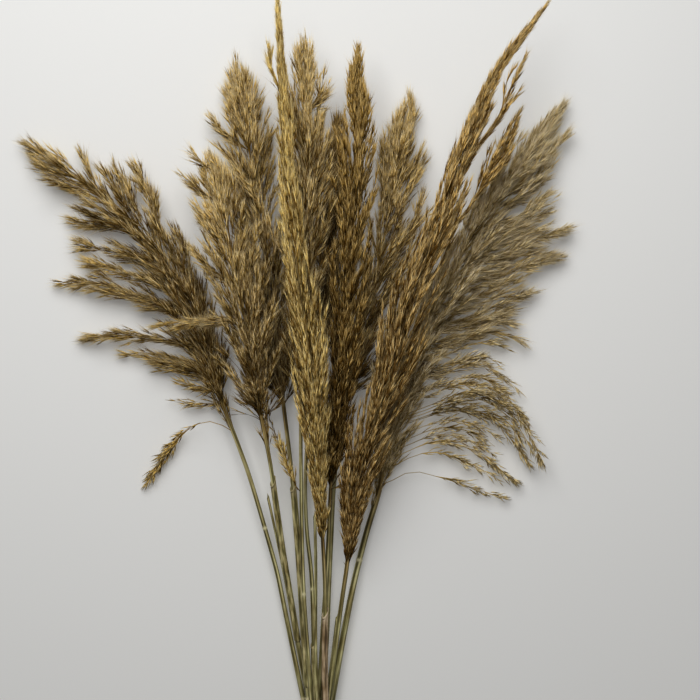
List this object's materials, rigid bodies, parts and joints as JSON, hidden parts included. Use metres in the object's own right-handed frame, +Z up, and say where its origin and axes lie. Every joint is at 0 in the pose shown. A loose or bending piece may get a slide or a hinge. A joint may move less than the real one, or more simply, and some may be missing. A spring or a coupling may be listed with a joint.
{
  "type": "bundle of dried pampas grass",
  "caption": "Loose bundle of cut, dried plume grass lying down: thin jointed stalks cross near their cut ends and fan out to fluffy and narrow plumes.",
  "frame": {"origin": "middle of the bundle's footprint, on the surface that it lies on", "axes": "+Y along the stalks towards the plumes, +X across the fan, +Z up from the surface"},
  "size_m": [0.5068, 0.7766, 0.1029],
  "materials": {
    "culm": "matte straw green, finely ribbed",
    "sheath": "matte, papery, ribbed",
    "sheath_front": "matte, papery, pinkish tan",
    "plume_olive": "soft hairs, olive brown with pale tips",
    "plume_golden": "dry golden spikelets",
    "plume_red_brown": "dry reddish golden spikelets"
  },
  "bodies": {
    "root": {"broken_culm_left": "culm", "broken_culm_middle": "culm", "broken_culm_right": "culm", "culm_far_left": "culm", "culm_far_right": "culm", "culm_front": "culm", "culm_left": "culm", "culm_left_behind": "culm", "culm_middle": "culm", "culm_middle_back": "culm", "culm_middle_left": "culm", "culm_middle_right": "culm", "culm_right_front": "culm", "far_left_hanging_sprig": "plume_olive", "far_left_last_sprig": "plume_olive", "far_left_long_sprig": "plume_olive", "far_left_low_sprig": "plume_olive", "far_left_lower_sprig": "plume_olive", "far_left_short_sprig": "plume_olive", "far_left_top_sprig": "plume_olive", "far_left_upper_sprig": "plume_olive", "far_right_arched_sprig": "plume_olive", "far_right_eighth_sprig": "plume_olive", "far_right_fifth_sprig": "plume_olive", "far_right_fourth_sprig": "plume_olive", "far_right_lowest_sprig": "plume_olive", "far_right_ninth_sprig": "plume_olive", "far_right_second_sprig": "plume_olive", "far_right_seventh_sprig": "plume_olive", "far_right_sixth_sprig": "plume_olive", "far_right_third_sprig": "plume_olive", "far_right_top_sprig": "plume_olive", "front_side_strand": "plume_golden", "left_behind_low_sprig": "plume_olive", "left_behind_pale_sprig": "plume_olive", "left_behind_side_sprig": "plume_olive", "left_behind_top_sprig": "plume_olive", "left_behind_upper_sprig": "plume_olive", "left_side_sprig": "plume_olive", "middle_left_golden_sprig": "plume_golden", "middle_left_top_sprig": "plume_olive", "middle_right_side_sprig": "plume_olive", "plume_far_left": "plume_olive", "plume_far_right": "plume_olive", "plume_front": "plume_golden", "plume_left": "plume_olive", "plume_left_behind": "plume_olive", "plume_middle": "plume_golden", "plume_middle_back": "plume_olive", "plume_middle_left": "plume_olive", "plume_middle_right": "plume_olive", "plume_right_front": "plume_red_brown", "right_front_lower_strand": "plume_red_brown", "right_front_upper_strand": "plume_red_brown", "sheath_front": "sheath_front", "sheath_left": "sheath", "sheath_left_behind": "sheath", "sheath_middle_back": "sheath"}
  },
  "joints": []
}
